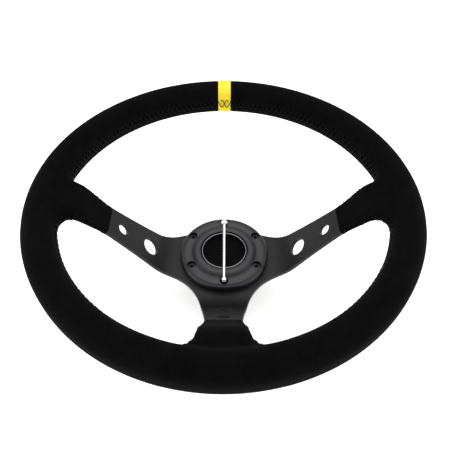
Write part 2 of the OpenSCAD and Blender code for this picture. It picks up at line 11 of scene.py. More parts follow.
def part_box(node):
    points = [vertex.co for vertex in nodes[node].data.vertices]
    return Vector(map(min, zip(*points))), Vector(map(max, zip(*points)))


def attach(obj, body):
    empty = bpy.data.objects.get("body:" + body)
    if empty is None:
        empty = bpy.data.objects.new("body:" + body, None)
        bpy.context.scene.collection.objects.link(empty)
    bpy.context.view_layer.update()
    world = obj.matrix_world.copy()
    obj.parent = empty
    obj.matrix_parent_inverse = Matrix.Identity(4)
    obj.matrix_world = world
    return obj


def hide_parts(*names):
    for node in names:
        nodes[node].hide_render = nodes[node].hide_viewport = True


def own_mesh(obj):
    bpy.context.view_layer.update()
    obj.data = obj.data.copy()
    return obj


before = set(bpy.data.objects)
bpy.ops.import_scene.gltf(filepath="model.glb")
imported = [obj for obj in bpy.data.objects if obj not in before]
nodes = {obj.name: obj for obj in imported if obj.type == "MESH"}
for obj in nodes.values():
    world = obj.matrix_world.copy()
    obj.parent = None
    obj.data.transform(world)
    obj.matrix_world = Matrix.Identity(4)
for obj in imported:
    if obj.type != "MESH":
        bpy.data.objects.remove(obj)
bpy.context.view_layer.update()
MM = 0.001

# ---- Camera, floor and studio light
# The wheel lies on a white sweep under a big overhead softbox, with a softer one on each side and
# a lit card behind. The camera stands in front of it and above, looking down at the rim.

rim_low, rim_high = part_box("rim_cover")
RIM_MIDDLE = (rim_low + rim_high) / 2
EYE = RIM_MIDDLE + Vector((2.4, -300.6, 313.4)) * MM
LOOK_DOWN = math.radians(49.39)
YAW = math.radians(0.17)
ROLL = math.radians(0.17)


def linear(hex_colour):
    """An sRGB hex colour as linear red, green, blue and alpha."""
    parts = [int(hex_colour[i:i + 2], 16) / 255 for i in (1, 3, 5)]
    return tuple(c / 12.92 if c <= 0.04045 else ((c + 0.055) / 1.055) ** 2.4 for c in parts) + (1,)


def add(tree, kind, settings=None, **inputs):
    """Adds a shader node. Each input is a value or the socket that feeds it; _ stands for a space."""
    node = tree.nodes.new(kind)
    for name, value in (settings or {}).items():
        setattr(node, name, value)
    for name, value in inputs.items():
        socket = node.inputs[int(name[1:]) if name[1:].isdigit() else name.replace("_", " ")]
        if isinstance(value, bpy.types.NodeSocket):
            tree.links.new(value, socket)
        else:
            socket.default_value = value
    return node


def new_material(name):
    """An empty material, its node tree and the object's own coordinates in metres."""
    material = bpy.data.materials.new(name)
    material.use_nodes = True
    material.node_tree.nodes.clear()
    tree = material.node_tree
    return material, tree, add(tree, "ShaderNodeTexCoord").outputs["Object"]


def finish_with(tree, shader):
    add(tree, "ShaderNodeOutputMaterial", Surface=shader.outputs[0])


def piece(name, bm):
    """Turns a bmesh into a smooth-shaded object."""
    mesh = bpy.data.meshes.new(name)
    bm.to_mesh(mesh)
    bm.free()
    mesh.shade_smooth()
    made = bpy.data.objects.new(name, mesh)
    bpy.context.scene.collection.objects.link(made)
    return made


camera = bpy.data.objects.new("camera", bpy.data.cameras.new("camera"))
bpy.context.scene.collection.objects.link(camera)
camera.data.lens = 38.18
camera.data.sensor_width = 36
camera.matrix_world = (Matrix.Translation(EYE) @ Matrix.Rotation(-YAW, 4, "Z")
                       @ Matrix.Rotation(math.pi / 2 - LOOK_DOWN, 4, "X") @ Matrix.Rotation(ROLL, 4, "Z"))
bpy.context.scene.camera = camera
bpy.context.scene.view_settings.view_transform = "Standard"

# White paper, lit so that it comes out nearly white all over
paper, tree, spot = new_material("white_paper_sweep")
fibre = add(tree, "ShaderNodeTexNoise", Vector=spot, Scale=900.0, Detail=3.0)
paper_bump = add(tree, "ShaderNodeBump", Height=fibre.outputs["Fac"], Strength=0.05, Distance=0.0002)
finish_with(tree, add(tree, "ShaderNodeBsdfPrincipled", Base_Color=linear("#f4f4f2"), Roughness=0.9,
                      Specular_IOR_Level=0.1, Emission_Color=linear("#ffffff"), Emission_Strength=0.5,
                      Normal=paper_bump.outputs["Normal"]))

bm = bmesh.new()
bmesh.ops.create_grid(bm, x_segments=8, y_segments=8, size=6.0)
sweep = piece("sweep", bm)
sweep.data.materials.append(paper)

world = bpy.data.worlds.new("studio")
world.use_nodes = True
world.node_tree.nodes.clear()
room = add(world.node_tree, "ShaderNodeBackground", Color=linear("#ffffff"), Strength=0.8)
add(world.node_tree, "ShaderNodeOutputWorld", Surface=room.outputs[0])
bpy.context.scene.world = world


def softbox(name, place, aim, wide, high, watts):
    light = bpy.data.lights.new(name, "AREA")
    light.shape = "RECTANGLE"
    light.size, light.size_y = wide, high
    light.energy = watts
    lamp = bpy.data.objects.new(name, light)
    lamp.location = place
    lamp.rotation_euler = (Vector(aim) - Vector(place)).to_track_quat("-Z", "Y").to_euler()
    bpy.context.scene.collection.objects.link(lamp)


softbox("overhead", (0.0, 0.25, 1.5), (0, 0, 0.1), 1.6, 1.2, 9.0)
softbox("left_side", (-1.3, -0.3, 0.8), (0, 0, 0.1), 0.5, 1.2, 4.0)
softbox("right_side", (1.3, -0.3, 0.8), (0, 0, 0.1), 0.5, 1.2, 4.0)
softbox("back_card", (0.0, 1.0, 1.35), (0, 0, 0.06), 1.0, 0.7, 2.5)

# ---- Column stub
# The part of the quick release that stays on the car: a turned steel stub with a boss, a pilot,
# a ball groove and a milled spline. Ground and lightly oiled, with fine turning marks.

TURNING_FEED = 0.3 * MM     # drawn coarser than the real 0.1 mm so that it shows


def turning_marks(tree, spot, feed):
    """Height of the lathe's marks: fine grooves round the Z axis on walls, and rings on end faces."""
    scale = 2 * math.pi / (20 * feed)
    wall = add(tree, "ShaderNodeTexWave", {"bands_direction": "Z"}, Vector=spot, Scale=scale,
               Distortion=0.6, Detail=2.0, Detail_Scale=0.3)
    face = add(tree, "ShaderNodeTexWave", {"wave_type": "RINGS", "rings_direction": "Z"}, Vector=spot,
               Scale=scale, Distortion=0.6, Detail=2.0, Detail_Scale=0.3)
    upright = add(tree, "ShaderNodeSeparateXYZ", Vector=add(tree, "ShaderNodeNewGeometry").outputs["Normal"])
    flat = add(tree, "ShaderNodeMath", {"operation": "ABSOLUTE"}, _0=upright.outputs["Z"])
    return add(tree, "ShaderNodeMix", Factor=flat.outputs[0], A=wall.outputs["Fac"],
               B=face.outputs["Fac"]).outputs[0]


def turned_steel():
    """Turned and ground carbon steel under a film of oil: bright, with a broad grey sheen."""
    material, tree, spot = new_material("turned_carbon_steel")
    marks = turning_marks(tree, spot, TURNING_FEED)
    oil = add(tree, "ShaderNodeTexNoise", Vector=spot, Scale=120.0, Detail=4.0, Roughness=0.6)
    tint = add(tree, "ShaderNodeMix", {"data_type": "RGBA"}, Factor=oil.outputs["Fac"],
               _6=linear("#a7a8a9"), _7=linear("#c4c4c2"))
    gloss = add(tree, "ShaderNodeMapRange", Value=oil.outputs["Fac"], To_Min=0.2, To_Max=0.36)
    bump = add(tree, "ShaderNodeBump", Height=marks, Strength=0.35, Distance=0.02 * MM)
    finish_with(tree, add(tree, "ShaderNodeBsdfPrincipled", Base_Color=tint.outputs[2], Metallic=1.0,
                          Roughness=gloss.outputs[0], Normal=bump.outputs["Normal"]))
    return material


WELD = 0.004 * MM           # vertices closer than this are one


def eased(name, width, sharp=28.0, segments=2):
    """A copy of a CAD node with its edges broken, to stand for it. The node's own mesh is left alone."""
    bm = bmesh.new()
    bm.from_mesh(nodes[name].data)
    bmesh.ops.remove_doubles(bm, verts=bm.verts, dist=WELD)
    bmesh.ops.dissolve_limit(bm, angle_limit=math.radians(0.6), verts=bm.verts, edges=bm.edges)
    edges = [e for e in bm.edges if e.is_manifold and e.calc_face_angle(0) > math.radians(sharp)]
    bmesh.ops.bevel(bm, geom=edges, offset=width, offset_type="OFFSET", segments=segments, profile=0.5,
                    affect="EDGES", clamp_overlap=True, material=-1)
    bmesh.ops.remove_doubles(bm, verts=bm.verts, dist=WELD / 2)
    copy = piece(name + "_eased", bm)
    for edge in copy.data.edges:
        edge.use_edge_sharp = False
    copy.modifiers.new("weighted", "WEIGHTED_NORMAL").keep_sharp = True
    return copy


def dress(name, material):
    """Puts a finish on a CAD node that is shown as it is."""
    for holder in nodes[name].material_slots:
        holder.material = material


dress("column_stub", turned_steel())

# ---- Lock balls
# Six ground balls of bearing steel, loose in holes through the body. The collar pushes them into
# the stub's groove.


def bearing_steel():
    """Ground and lapped chrome steel: a mirror with the faintest haze."""
    material, tree, spot = new_material("lapped_chrome_steel")
    haze = add(tree, "ShaderNodeTexNoise", Vector=spot, Scale=900.0, Detail=3.0)
    gloss = add(tree, "ShaderNodeMapRange", Value=haze.outputs["Fac"], To_Min=0.05, To_Max=0.12)
    finish_with(tree, add(tree, "ShaderNodeBsdfPrincipled", Base_Color=linear("#d9dadb"), Metallic=1.0,
                          Roughness=gloss.outputs[0]))
    return material


lapped = bearing_steel()
for number in range(1, 7):
    dress(f"lock_ball_{number}", lapped)

# ---- Release body
# The half that stays on the wheel: aluminium turned and milled from bar, then anodised black.
# It holds the balls and the spline, and bolts to the back of the spoke plate.


def turned_anodised(name, colour, light, feed):
    """Turned aluminium, dyed and sealed: dark, satin, with the tool's marks still under the oxide."""
    material, tree, spot = new_material(name)
    marks = turning_marks(tree, spot, feed)
    mottle = add(tree, "ShaderNodeTexNoise", Vector=spot, Scale=260.0, Detail=5.0, Roughness=0.6)
    tint = add(tree, "ShaderNodeMix", {"data_type": "RGBA"}, Factor=mottle.outputs["Fac"],
               _6=linear(colour), _7=linear(light))
    gloss = add(tree, "ShaderNodeMapRange", Value=mottle.outputs["Fac"], To_Min=0.3, To_Max=0.44)
    bump = add(tree, "ShaderNodeBump", Height=marks, Strength=0.3, Distance=0.02 * MM)
    finish_with(tree, add(tree, "ShaderNodeBsdfPrincipled", Base_Color=tint.outputs[2], Metallic=0.9,
                          Roughness=gloss.outputs[0], Normal=bump.outputs["Normal"]))
    return material


dress("release_body", turned_anodised("black_hard_anodised_aluminium", "#1d1e20", "#2b2c2f", TURNING_FEED))

# ---- Retaining ring
# A circlip stamped from spring steel and blackened. It sits in a groove of the body and stops the
# collar from sliding off.


def black_oxide():
    """Blackened alloy steel, as on socket screws: a thin oily oxide over metal."""
    material, tree, spot = new_material("black_oxide_steel")
    blotch = add(tree, "ShaderNodeTexNoise", Vector=spot, Scale=700.0, Detail=4.0, Roughness=0.65)
    tint = add(tree, "ShaderNodeMix", {"data_type": "RGBA"}, Factor=blotch.outputs["Fac"],
               _6=linear("#141416"), _7=linear("#2a2a2d"))
    gloss = add(tree, "ShaderNodeMapRange", Value=blotch.outputs["Fac"], To_Min=0.28, To_Max=0.5)
    bump = add(tree, "ShaderNodeBump", Height=blotch.outputs["Fac"], Strength=0.15, Distance=0.02 * MM)
    finish_with(tree, add(tree, "ShaderNodeBsdfPrincipled", Base_Color=tint.outputs[2], Metallic=0.85,
                          Roughness=gloss.outputs[0], Normal=bump.outputs["Normal"]))
    return material


blackened = black_oxide()
dress("retaining_ring", blackened)

# ---- Release collar
# The sleeve that the driver pulls to free the wheel. It is turned from aluminium and anodised, with
# a flange to pull by, and slides on the body.

dress("release_collar", turned_anodised("anodised_collar_aluminium", "#1a1b1d", "#292a2d", 0.4 * MM))

# ---- Collar spring
# A coil of drawn spring wire between the collar and the body's flange. It shortens as the collar
# is pulled.


def spring_wire():
    """Drawn and oil-tempered spring wire: grey, with drawing lines along it."""
    material, tree, spot = new_material("drawn_spring_wire")
    grain = add(tree, "ShaderNodeTexNoise", Vector=spot, Scale=1500.0, Detail=3.0)
    tint = add(tree, "ShaderNodeMix", {"data_type": "RGBA"}, Factor=grain.outputs["Fac"],
               _6=linear("#77787a"), _7=linear("#a2a3a4"))
    gloss = add(tree, "ShaderNodeMapRange", Value=grain.outputs["Fac"], To_Min=0.25, To_Max=0.4)
    finish_with(tree, add(tree, "ShaderNodeBsdfPrincipled", Base_Color=tint.outputs[2], Metallic=1.0,
                          Roughness=gloss.outputs[0]))
    return material


drawn_wire = spring_wire()


def coil_spring(name, node, radius, wire, turns):
    """A round wire coil between a CAD spring's ends, spun up the Z axis and capped."""
    low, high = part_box(node)
    steps = 48
    rise = (high.z - low.z - wire) / (steps * turns)
    bm = bmesh.new()
    ring = bmesh.ops.create_circle(bm, segments=14, radius=wire / 2, cap_ends=False)
    place = Matrix.Translation((radius, 0, low.z + wire / 2)) @ Matrix.Rotation(math.pi / 2, 4, "X")
    bmesh.ops.transform(bm, matrix=place, verts=ring["verts"])
    first = list(bm.edges)
    spun = bmesh.ops.spin(bm, geom=list(bm.verts) + list(bm.edges), cent=(0, 0, 0), axis=(0, 0, 1),
                          dvec=(0, 0, rise), angle=2 * math.pi * turns, steps=int(steps * turns))
    last = [g for g in spun["geom_last"] if isinstance(g, bmesh.types.BMEdge)]
    bmesh.ops.edgeloop_fill(bm, edges=first)
    bmesh.ops.edgeloop_fill(bm, edges=last)
    bmesh.ops.recalc_face_normals(bm, faces=bm.faces)
    coil = piece(name, bm)
    coil.data.materials.append(drawn_wire)
    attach(coil, "wheel")
    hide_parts(node)
    return coil


COLLAR_SPRING_WIRE = 1.4 * MM
COLLAR_SPRING_RADIUS = 21.3 * MM
COLLAR_SPRING_TURNS = 2.5
collar_coil = coil_spring("collar_spring_coil", "release_spring", COLLAR_SPRING_RADIUS,
                          COLLAR_SPRING_WIRE, COLLAR_SPRING_TURNS)
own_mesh(collar_coil)

# ---- Spoke plate
# One piece of 4 mm aluminium, cut, folded twice along each spoke, brushed along X and anodised
# black. It clamps between the release body and the trim ring.


def brushed_anodised():
    """Brushed aluminium under black oxide: satin charcoal with fine lines along the sheet's grain."""
    material, tree, spot = new_material("brushed_black_anodised_aluminium")
    # brush lines 0.5 mm apart, drawn coarser than the real 0.1 mm, and about 20 mm long
    along = add(tree, "ShaderNodeMapping", Vector=spot, Scale=(50.0, 2000.0, 2000.0))
    lines = add(tree, "ShaderNodeTexNoise", Vector=along.outputs[0], Scale=1.0, Detail=4.0, Roughness=0.6)
    cloud = add(tree, "ShaderNodeTexNoise", Vector=spot, Scale=90.0, Detail=3.0)
    tint = add(tree, "ShaderNodeMix", {"data_type": "RGBA"}, Factor=lines.outputs["Fac"],
               _6=linear("#121213"), _7=linear("#1d1d1e"))
    gloss = add(tree, "ShaderNodeMapRange", Value=cloud.outputs["Fac"], To_Min=0.4, To_Max=0.52)
    bump = add(tree, "ShaderNodeBump", Height=lines.outputs["Fac"], Strength=0.25, Distance=0.03 * MM)
    finish_with(tree, add(tree, "ShaderNodeBsdfPrincipled", Base_Color=tint.outputs[2], Metallic=0.3,
                          Roughness=gloss.outputs[0], Specular_IOR_Level=0.3, Normal=bump.outputs["Normal"]))
    return material


plate = eased("spoke_plate", 0.35 * MM)
plate.data.materials.clear()
plate.data.materials.append(brushed_anodised())
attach(plate, "wheel")
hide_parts("spoke_plate")

# ---- Core ring and rivets
# A flat ring of rolled steel inside the grip, which carries the rim. Two solid rivets hold it to
# each spoke.


def rolled_steel():
    """Hot-rolled flat bar with its thin grey scale."""
    material, tree, spot = new_material("hot_rolled_steel")
    scale_patch = add(tree, "ShaderNodeTexNoise", Vector=spot, Scale=160.0, Detail=6.0, Roughness=0.7)
    tint = add(tree, "ShaderNodeMix", {"data_type": "RGBA"}, Factor=scale_patch.outputs["Fac"],
               _6=linear("#3b3d42"), _7=linear("#6d6a68"))
    bump = add(tree, "ShaderNodeBump", Height=scale_patch.outputs["Fac"], Strength=0.3, Distance=0.05 * MM)
    finish_with(tree, add(tree, "ShaderNodeBsdfPrincipled", Base_Color=tint.outputs[2], Metallic=0.9,
                          Roughness=0.55, Normal=bump.outputs["Normal"]))
    return material


def zinc_plate():
    """Bright zinc plate on steel: pale, slightly blue and cloudy."""
    material, tree, spot = new_material("bright_zinc_plate")
    cloud = add(tree, "ShaderNodeTexNoise", Vector=spot, Scale=500.0, Detail=4.0)
    tint = add(tree, "ShaderNodeMix", {"data_type": "RGBA"}, Factor=cloud.outputs["Fac"],
               _6=linear("#a9adb3"), _7=linear("#c9ccd0"))
    finish_with(tree, add(tree, "ShaderNodeBsdfPrincipled", Base_Color=tint.outputs[2], Metallic=1.0,
                          Roughness=0.35))
    return material


dress("rim_core", rolled_steel())
dress("rim_rivets", zinc_plate())

# ---- Grip foam
# Self-skinned polyurethane foam, moulded round the core ring and the spoke ends. The suede cover
# is stretched over it.


def moulded_foam():
    """Integral-skin polyurethane: dull black with fine open pores."""
    material, tree, spot = new_material("integral_skin_polyurethane")
    pores = add(tree, "ShaderNodeTexVoronoi", Vector=spot, Scale=1200.0)
    bump = add(tree, "ShaderNodeBump", Height=pores.outputs["Distance"], Strength=0.4, Distance=0.2 * MM)
    # painted shade: the colour is darkest at each pore's pit, where the bump sinks
    tint = add(tree, "ShaderNodeMix", {"data_type": "RGBA"}, Factor=pores.outputs["Distance"],
               _6=linear("#121212"), _7=linear("#242424"))
    finish_with(tree, add(tree, "ShaderNodeBsdfPrincipled", Base_Color=tint.outputs[2], Roughness=0.85,
                          Normal=bump.outputs["Normal"]))
    return material


dress("rim_foam", moulded_foam())

# ---- Suede cover
# Split-hide suede, dyed black, stretched over the foam and out along each spoke as a boot.
# It is closed by one hand-sewn seam along the inside of the rim and the boots' edges.

GRIP_W = 28 * MM
GRIP_H = rim_high.z - rim_low.z
RIM_R = rim_high.x - GRIP_W / 2
RIM_IN_R = rim_high.x - GRIP_W
RIM_Z = RIM_MIDDLE.z
PLATE_T = 4 * MM
PLATE_MIDDLE_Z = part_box("spoke_plate")[0].z + PLATE_T / 2
FOLD_X = 60.3 * MM
LANDING_IN = 28.4 * MM      # from the grip's middle circle in to a spoke's outer fold
LANDING_X = RIM_R - LANDING_IN
FOLD_REACH = 5.5 * MM       # from a fold's corner to where the bend ends
SLOPE = math.atan2(RIM_Z - PLATE_MIDDLE_Z, LANDING_X - FOLD_X)
SPOKE_TURNS = (0.0, math.pi, 1.5 * math.pi)

BOOT_L = 38.5 * MM          # from the rim in to the boot's edge
BOOT_X = RIM_IN_R - BOOT_L
BOOT_HALF_W = 16.4 * MM
BOOT_SPREAD = math.radians(9.7)
BOOT_FILLET = 11 * MM
BOOT_THIN = 3.2 * MM        # half the thickness of plate and suede at the boot's edge
BOOT_SWELL = 5.2 * MM       # what each side gains by the time it reaches the rim
EDGE_ROLL = 0.45 * MM       # height of the turned-over hem at the boot's edge
EDGE_ROLL_IN = 0.9 * MM
EDGE_ROLL_WIDTH = 1.6 * MM
BOOT_STEP = 2.2 * MM        # between the boot's sections
SQUARE_SIDES = 0.36         # powers that make those sections squarer than an ellipse
SQUARE_FACES = 0.62
HIDDEN_FLARE = 1.2          # how fast the boot widens where it is inside the rim
VOXEL = 1.25 * MM

# The fillet's centre in plan: a radius off the boot's side, and a radius inside the rim
fillet_off = BOOT_HALF_W + BOOT_FILLET / math.cos(BOOT_SPREAD) - BOOT_X * math.tan(BOOT_SPREAD)
fillet_a = 1 + math.tan(BOOT_SPREAD) ** 2
fillet_b = fillet_off * math.tan(BOOT_SPREAD)
fillet_x = (math.sqrt(fillet_b ** 2 - fillet_a * (fillet_off ** 2 - (RIM_IN_R - BOOT_FILLET) ** 2))
            - fillet_b) / fillet_a
fillet_y = fillet_off + fillet_x * math.tan(BOOT_SPREAD)


def spoke_height(x):
    """Height of a spoke's middle plane at distance x from the axis, near its outer fold."""
    short = LANDING_X - x
    if short < -FOLD_REACH:
        return RIM_Z
    if short > FOLD_REACH:
        return RIM_Z - short * math.tan(SLOPE)
    return RIM_Z - math.tan(SLOPE) * (short + FOLD_REACH) ** 2 / (4 * FOLD_REACH)


def boot_half_width(x):
    """Half the boot's width at distance x: straight sides, then the fillet, then on inside the rim."""
    tangent_x = fillet_x + BOOT_FILLET * math.sin(BOOT_SPREAD)
    if x < tangent_x:
        return BOOT_HALF_W + (x - BOOT_X) * math.tan(BOOT_SPREAD)
    if x < fillet_x + BOOT_FILLET:
        return fillet_y - math.sqrt(BOOT_FILLET ** 2 - (x - fillet_x) ** 2)
    return fillet_y + (x - fillet_x - BOOT_FILLET) * HIDDEN_FLARE


def boot_half_height(x):
    """Half the boot's thickness: a rolled edge, flat over the spoke, then swelling into the rim."""
    share = max(0.0, min(1.0, (x - BOOT_X) / (RIM_IN_R - BOOT_X)))
    rolled = EDGE_ROLL * math.exp(-((x - BOOT_X - EDGE_ROLL_IN) / EDGE_ROLL_WIDTH) ** 2)
    return BOOT_THIN + BOOT_SWELL * share ** 2 + rolled


def add_grip(bm):
    """The grip: a bar with round ends, spun round the Z axis."""
    ring = bmesh.ops.create_circle(bm, segments=56, radius=GRIP_W / 2, cap_ends=False)["verts"]
    for v in ring:
        v.co.y += math.copysign((GRIP_H - GRIP_W) / 2, v.co.y)
    bmesh.ops.transform(bm, verts=ring, matrix=Matrix.Translation((RIM_R, 0, RIM_Z))
                        @ Matrix.Rotation(math.pi / 2, 4, "X"))
    edges = list({e for v in ring for e in v.link_edges})
    bmesh.ops.spin(bm, geom=ring + edges, cent=(0, 0, 0), axis=(0, 0, 1), angle=2 * math.pi,
                   steps=300, use_merge=True)


def add_boot(bm, turn):
    """A boot lofted from its wrapped edge to inside the grip, in sections square to the spoke."""
    before = set(bm.verts)
    stops = [BOOT_X + i * BOOT_STEP for i in range(11)]
    stops += [fillet_x + BOOT_FILLET * t for t in (0.25, 0.5, 0.7, 0.84, 0.93, 0.98, 1.0)]
    stops += [RIM_IN_R + 1 * MM, RIM_R - 4 * MM]
    loops = []
    for x in stops:
        slope = math.atan2(spoke_height(x + 1e-4) - spoke_height(x - 1e-4), 2e-4)
        ring = bmesh.ops.create_circle(bm, segments=64, radius=1.0, cap_ends=False)["verts"]
        for v in ring:      # squarer than an ellipse, so that the flat sides stay flat
            v.co.x = math.copysign(abs(v.co.x) ** SQUARE_SIDES, v.co.x) * boot_half_width(x)
            v.co.y = math.copysign(abs(v.co.y) ** SQUARE_FACES, v.co.y) * boot_half_height(x)
        stand = (Matrix.Translation((x, 0, spoke_height(x))) @ Matrix.Rotation(-slope, 4, "Y")
                 @ Matrix.Rotation(math.pi / 2, 4, "Z") @ Matrix.Rotation(math.pi / 2, 4, "X"))
        bmesh.ops.transform(bm, verts=ring, matrix=stand)
        loops.append(list({e for v in ring for e in v.link_edges}))
    for near, far in zip(loops, loops[1:]):
        bmesh.ops.bridge_loops(bm, edges=near + far)
    bmesh.ops.edgeloop_fill(bm, edges=loops[0])
    bmesh.ops.edgeloop_fill(bm, edges=loops[-1])
    made = [v for v in bm.verts if v not in before]
    bmesh.ops.rotate(bm, verts=made, cent=(0, 0, 0), matrix=Matrix.Rotation(turn, 3, "Z"))


SEAM_STEP = 0.5 * MM
SEAM_START = 1.2 * MM       # from a boot's edge to the first point of its seam


def seam_route(turn_a, turn_b):
    """Points along a seam: in along one boot's edge, round the rim, and out along the next boot's."""
    side = []
    x = BOOT_X + SEAM_START
    tangent_x = fillet_x + BOOT_FILLET * math.sin(BOOT_SPREAD)
    while x < tangent_x:
        side.append((x, boot_half_width(x)))
        x += SEAM_STEP
    start, end = BOOT_SPREAD - math.pi / 2, math.atan2(fillet_y, fillet_x)
    count = int(BOOT_FILLET * (end - start) / SEAM_STEP)
    side += [(fillet_x + BOOT_FILLET * math.cos(start + (end - start) * i / count),
              fillet_y + BOOT_FILLET * math.sin(start + (end - start) * i / count)) for i in range(count)]
    leave = Matrix.Rotation(turn_a, 3, "Z")
    arrive = Matrix.Rotation(turn_b, 3, "Z")
    out = [leave @ Vector((x, y, spoke_height(x))) for x, y in side]
    back = [arrive @ Vector((x, -y, spoke_height(x))) for x, y in reversed(side)]
    first, last = turn_a + end, turn_b - end
    count = int(RIM_IN_R * (last - first) / SEAM_STEP)
    arc = [Vector((RIM_IN_R * math.cos(first + (last - first) * i / count),
                   RIM_IN_R * math.sin(first + (last - first) * i / count), RIM_Z)) for i in range(count)]
    return out + arc + back


seams = [seam_route(a, b) for a, b in zip(SPOKE_TURNS, SPOKE_TURNS[1:] + (2 * math.pi,))]

STITCH_PITCH = 5.3 * MM
STITCH_HALF_H = 5.6 * MM
SEAM_DEPTH = 0.75 * MM
SEAM_WIDTH = 1.3 * MM
HOLE_DEPTH = 0.28 * MM
HOLE_WIDTH = 1.6 * MM
BAND_HALF_W = 7.0 * MM
BAND_EDGE_DEPTH = 0.5 * MM
BAND_EDGE_WIDTH = 0.9 * MM


def sew_in(mesh):
    """Draws the cover in along the seam and at each needle hole, and turns it down beside the band."""
    tree = KDTree(sum(len(s) for s in seams))
    lengths = []
    for route in seams:
        walked = 0.0
        for here, after in zip(route, route[1:] + route[-1:]):
            tree.insert(here, len(lengths))
            lengths.append(walked)
            walked += (after - here).length
    tree.balance()
    sunk = []
    for v in mesh.vertices:
        co = v.co.copy()
        _, index, away = tree.find(co)
        sink = SEAM_DEPTH * math.exp(-(away / SEAM_WIDTH) ** 2)
        phase = math.cos(2 * math.pi * lengths[index] / STITCH_PITCH)
        sink += HOLE_DEPTH * (0.5 - 0.5 * phase) * math.exp(-((away - STITCH_HALF_H) / HOLE_WIDTH) ** 2)
        if co.y > 0:
            sink += BAND_EDGE_DEPTH * math.exp(-((abs(co.x) - BAND_HALF_W) / BAND_EDGE_WIDTH) ** 2)
        sunk.extend(co - v.normal * sink)
    mesh.vertices.foreach_set("co", sunk)
    mesh.update()


def suede(name, low, high, sheen):
    """Dyed suede: a dead matt ground with brushed patches of nap and a soft sheen at grazing angles."""
    material, tree, spot = new_material(name)
    # the nap's tufts are about 0.15 mm, drawn at 0.5 mm; brushed patches are 10 to 25 mm
    nap = add(tree, "ShaderNodeTexNoise", Vector=spot, Scale=2000.0, Detail=3.0, Roughness=0.7)
    tufts = add(tree, "ShaderNodeTexNoise", Vector=spot, Scale=700.0, Detail=4.0, Roughness=0.65,
                Distortion=0.4)
    brushed = add(tree, "ShaderNodeTexNoise", Vector=spot, Scale=55.0, Detail=3.0, Roughness=0.6,
                  Distortion=1.2)
    blend = add(tree, "ShaderNodeMath", {"operation": "MULTIPLY_ADD"}, _0=tufts.outputs["Fac"],
                _1=0.5, _2=add(tree, "ShaderNodeMath", {"operation": "MULTIPLY"},
                               _0=brushed.outputs["Fac"], _1=0.5).outputs[0])
    spread = add(tree, "ShaderNodeMapRange", Value=blend.outputs[0], From_Min=0.36, From_Max=0.64)
    tint = add(tree, "ShaderNodeMix", {"data_type": "RGBA"}, Factor=spread.outputs[0],
               _6=linear(low), _7=linear(high))
    height = add(tree, "ShaderNodeMath", {"operation": "ADD"}, _0=nap.outputs["Fac"],
                 _1=tufts.outputs["Fac"])
    bump = add(tree, "ShaderNodeBump", Height=height.outputs[0], Strength=0.5, Distance=0.12 * MM)
    finish_with(tree, add(tree, "ShaderNodeBsdfPrincipled", Base_Color=tint.outputs[2], Roughness=1.0,
                          Specular_IOR_Level=0.08, Sheen_Weight=sheen, Sheen_Roughness=0.45,
                          Sheen_Tint=linear(high), Normal=bump.outputs["Normal"]))
    return material


bm = bmesh.new()
add_grip(bm)
for turn in SPOKE_TURNS:
    add_boot(bm, turn)
bmesh.ops.recalc_face_normals(bm, faces=bm.faces)
raw = piece("suede_raw", bm)
remesh = raw.modifiers.new("remesh", "REMESH")
remesh.mode = "VOXEL"
remesh.voxel_size = VOXEL
skin = bpy.data.meshes.new_from_object(raw.evaluated_get(bpy.context.evaluated_depsgraph_get()))
bpy.data.objects.remove(raw)

bm = bmesh.new()
bm.from_mesh(skin)
BOOT_BLEND = 48 * MM        # the joint between a boot and the rim is smoothed this far round it
boot_roots = [Matrix.Rotation(t, 3, "Z") @ Vector((RIM_IN_R, 0, RIM_Z)) for t in SPOKE_TURNS]
near_boots = [v for v in bm.verts if any((v.co - root).length < BOOT_BLEND for root in boot_roots)]
for verts, passes in ((near_boots, 9), (bm.verts, 3)):
    for _ in range(passes):
        bmesh.ops.smooth_vert(bm, verts=verts, factor=0.5, use_axis_x=True, use_axis_y=True,
                              use_axis_z=True)
bm.normal_update()
cover = piece("suede_cover", bm)
sew_in(cover.data)
cover.data.materials.clear()
cover.data.materials.append(suede("black_split_suede", "#010101", "#080808", 0.03))
cover.data.shade_smooth()
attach(cover, "wheel")
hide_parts("rim_cover", "boot_left", "boot_right", "boot_bottom")

# ---- Centre band
# A strip of yellow suede let into the cover at the top of the rim, with its edges folded under. It
# shows the driver when the wheels point straight ahead.

BAND_PROUD = 0.3 * MM
BAND_DEPTH = 0.9 * MM       # how far the strip reaches into the grip
BAND_GAP = 0.25 * MM
BAND_TURN_IN = 0.35 * MM    # its edges are folded under
BAND_STEPS = 12

bm = bmesh.new()
outer, inner = [], []
for proud, loops in ((BAND_PROUD, outer), (-BAND_DEPTH, inner)):
    for i in range(BAND_STEPS + 1):
        share = 2 * i / BAND_STEPS - 1
        x = share * (BAND_HALF_W - BAND_GAP)
        turn_in = BAND_TURN_IN * max(0.0, abs(share) - 0.8) / 0.2 if loops is outer else 0.0
        ring = bmesh.ops.create_circle(bm, segments=72, radius=GRIP_W / 2 + proud - turn_in,
                                       cap_ends=False)["verts"]
        for v in ring:
            v.co.y += math.copysign((GRIP_H - GRIP_W) / 2, v.co.y)
        bmesh.ops.transform(bm, verts=ring, matrix=Matrix.Rotation(math.pi / 2, 4, "X"))
        for v in ring:      # the strip is straight, so it follows the rim only by leaning in y
            r = RIM_R + v.co.x
            v.co = Vector((x, math.sqrt(r * r - x * x), RIM_Z + v.co.z))
        loops.append(list({e for v in ring for e in v.link_edges}))
for loops in (outer, inner):
    for near, far in zip(loops, loops[1:]):
        bmesh.ops.bridge_loops(bm, edges=near + far)
bmesh.ops.bridge_loops(bm, edges=outer[0] + inner[0])
bmesh.ops.bridge_loops(bm, edges=outer[-1] + inner[-1])
bmesh.ops.recalc_face_normals(bm, faces=bm.faces)
band = piece("centre_band_suede", bm)
band.data.materials.append(suede("yellow_split_suede", "#eed032", "#fbe650", 0.15))
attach(band, "wheel")
